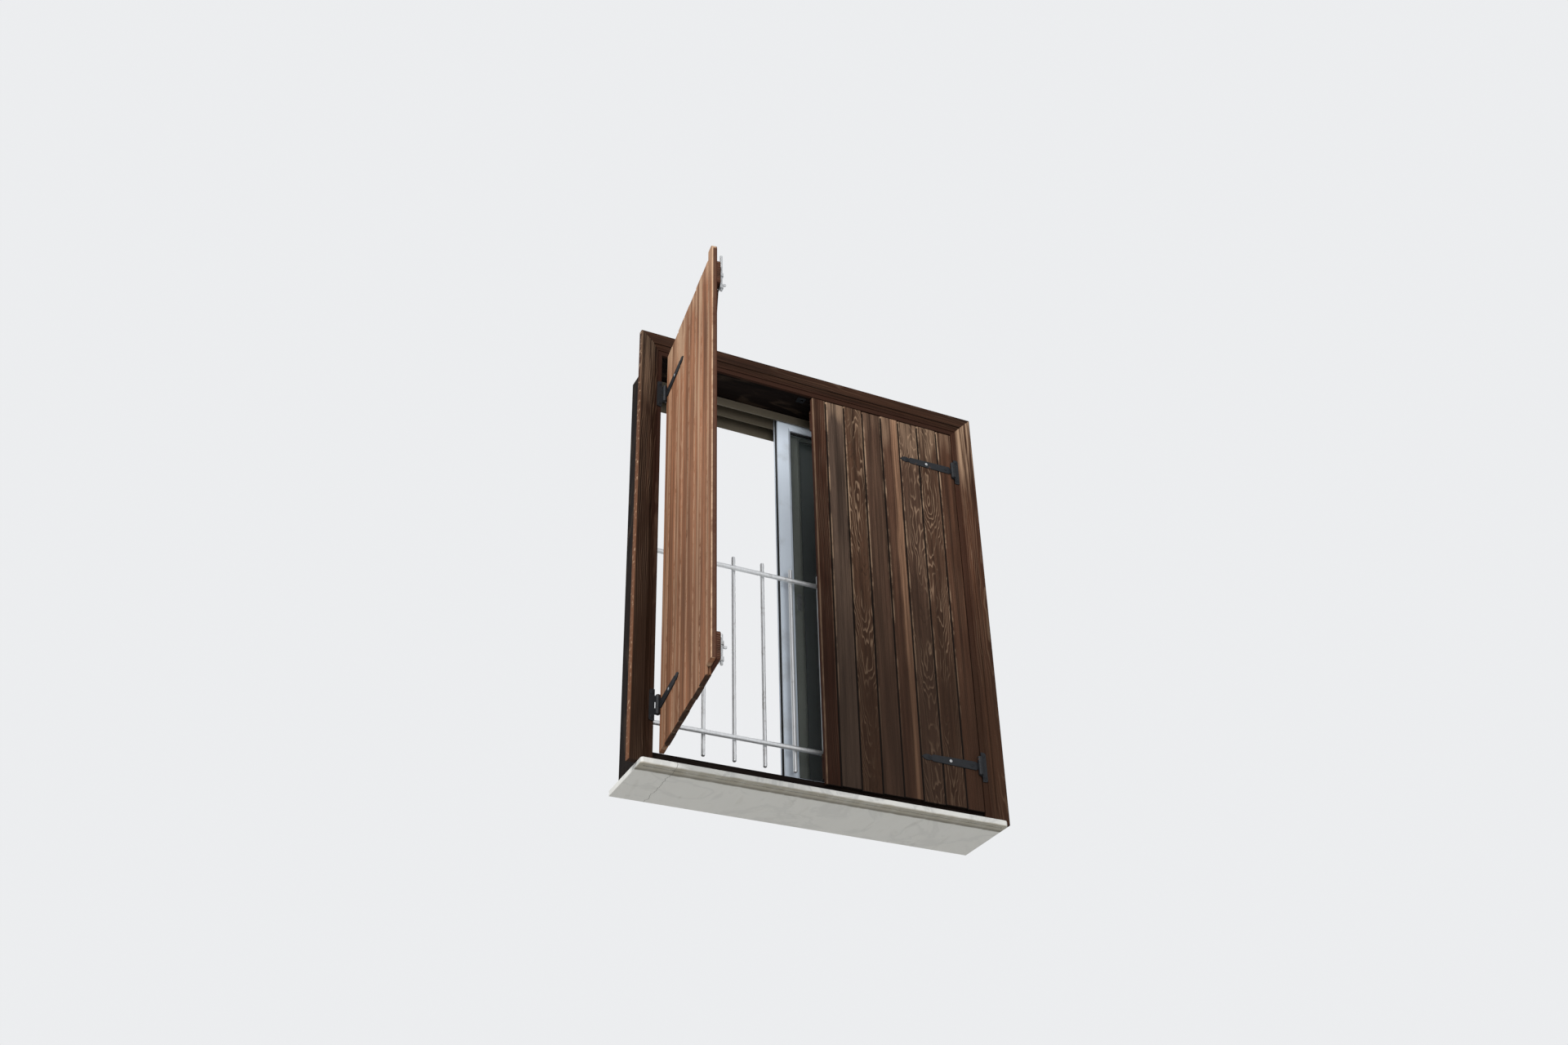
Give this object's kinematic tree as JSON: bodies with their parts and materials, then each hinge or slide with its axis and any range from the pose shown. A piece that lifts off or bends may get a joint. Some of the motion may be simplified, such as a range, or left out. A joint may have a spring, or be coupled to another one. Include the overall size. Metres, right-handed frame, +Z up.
{
  "type": "window with shutters",
  "caption": "Sliding aluminium window in a timber lining with moulded casing, ledged and braced board shutters on strap hinges, tubular guard rail and a stone sill",
  "frame": {"origin": "underside of the stone sill, at mid width, in the plane of the wall's outer face", "axes": "+X to the right along the wall, +Y into the wall, +Z up"},
  "size_m": [1.26, 0.7634, 1.57],
  "materials": {
    "marble": "honed, weathered white marble",
    "weathered_wood": "weathered, grain raised",
    "casing_wood": "brown stain, worn to bare wood",
    "frame_wood": "dark brown stain",
    "guard_metal": "silver paint, bright",
    "window_aluminium": "anodised, beige in shade",
    "sash_aluminium": "bright mill finish",
    "glass": "clear float glass",
    "black_iron": "black paint, worn",
    "galvanised_iron": "zinc plated"
  },
  "bodies": {
    "frame": {"stone_sill": "marble", "frame_jamb_left": "frame_wood", "frame_jamb_right": "frame_wood", "frame_head": "frame_wood", "frame_bottom": "frame_wood", "casing_left": "casing_wood", "casing_right": "casing_wood", "casing_head": "casing_wood", "guard_rails": "guard_metal", "guard_bars": "guard_metal", "window_head": "window_aluminium", "window_track": "window_aluminium", "window_jamb_left": "window_aluminium", "window_jamb_right": "window_aluminium", "hinge_leaves": "black_iron", "hinge_pins": "black_iron", "bolt_keepers": "black_iron"},
    "right_shutter": {"right_board_1": "weathered_wood", "right_board_2": "weathered_wood", "right_board_3": "weathered_wood", "right_board_4": "weathered_wood", "right_board_5": "weathered_wood", "right_board_6": "weathered_wood", "right_board_7": "weathered_wood", "right_board_8": "weathered_wood", "right_top_ledge": "weathered_wood", "right_bottom_ledge": "weathered_wood", "right_brace": "weathered_wood", "right_upper_strap": "black_iron", "right_lower_strap": "black_iron", "right_bolt_cases": "galvanised_iron"},
    "left_shutter": {"left_board_1": "weathered_wood", "left_board_2": "weathered_wood", "left_board_3": "weathered_wood", "left_board_4": "weathered_wood", "left_board_5": "weathered_wood", "left_board_6": "weathered_wood", "left_board_7": "weathered_wood", "left_board_8": "weathered_wood", "left_top_ledge": "weathered_wood", "left_bottom_ledge": "weathered_wood", "left_brace": "weathered_wood", "left_upper_strap": "black_iron", "left_lower_strap": "black_iron", "left_bolt_cases": "galvanised_iron"},
    "right_top_bolt": {"right_top_bolt_rod": "galvanised_iron"},
    "right_bottom_bolt": {"right_bottom_bolt_rod": "galvanised_iron"},
    "left_top_bolt": {"left_top_bolt_rod": "galvanised_iron"},
    "left_bottom_bolt": {"left_bottom_bolt_rod": "galvanised_iron"},
    "outer_sash": {"outer_sash_left_stile": "sash_aluminium", "outer_sash_right_stile": "sash_aluminium", "outer_sash_top_rail": "sash_aluminium", "outer_sash_bottom_rail": "sash_aluminium", "outer_sash_glass": "glass"},
    "inner_sash": {"inner_sash_left_stile": "sash_aluminium", "inner_sash_right_stile": "sash_aluminium", "inner_sash_top_rail": "sash_aluminium", "inner_sash_bottom_rail": "sash_aluminium", "inner_sash_glass": "glass", "inner_sash_catch": "galvanised_iron"}
  },
  "joints": [
    {"name": "left_shutter_hinge", "type": "hinge", "parent": "frame", "child": "left_shutter", "pos_m": [-0.5425, -0.0175, 0.8], "axis": [0, 0, -1], "range_deg": [-94.2, 77.3]},
    {"name": "right_shutter_hinge", "type": "hinge", "parent": "frame", "child": "right_shutter", "pos_m": [0.5425, -0.0175, 0.8], "axis": [0, 0, 1], "range_deg": [0, 175]},
    {"name": "right_top_bolt_slide", "type": "slide", "parent": "right_shutter", "child": "right_top_bolt", "axis": [0, 0, 1], "range_m": [0, 0.022]},
    {"name": "right_bottom_bolt_slide", "type": "slide", "parent": "right_shutter", "child": "right_bottom_bolt", "axis": [0, 0, -1], "range_m": [0, 0.022]},
    {"name": "left_top_bolt_slide", "type": "slide", "parent": "left_shutter", "child": "left_top_bolt", "axis": [0, 0, 1], "range_m": [0, 0.022]},
    {"name": "left_bottom_bolt_slide", "type": "slide", "parent": "left_shutter", "child": "left_bottom_bolt", "axis": [0, 0, -1], "range_m": [0, 0.022]},
    {"name": "outer_sash_slide", "type": "slide", "parent": "frame", "child": "outer_sash", "axis": [1, 0, 0], "range_m": [-0.466, 0.053]},
    {"name": "inner_sash_slide", "type": "slide", "parent": "frame", "child": "inner_sash", "axis": [1, 0, 0], "range_m": [-0.519, 0]}
  ]
}
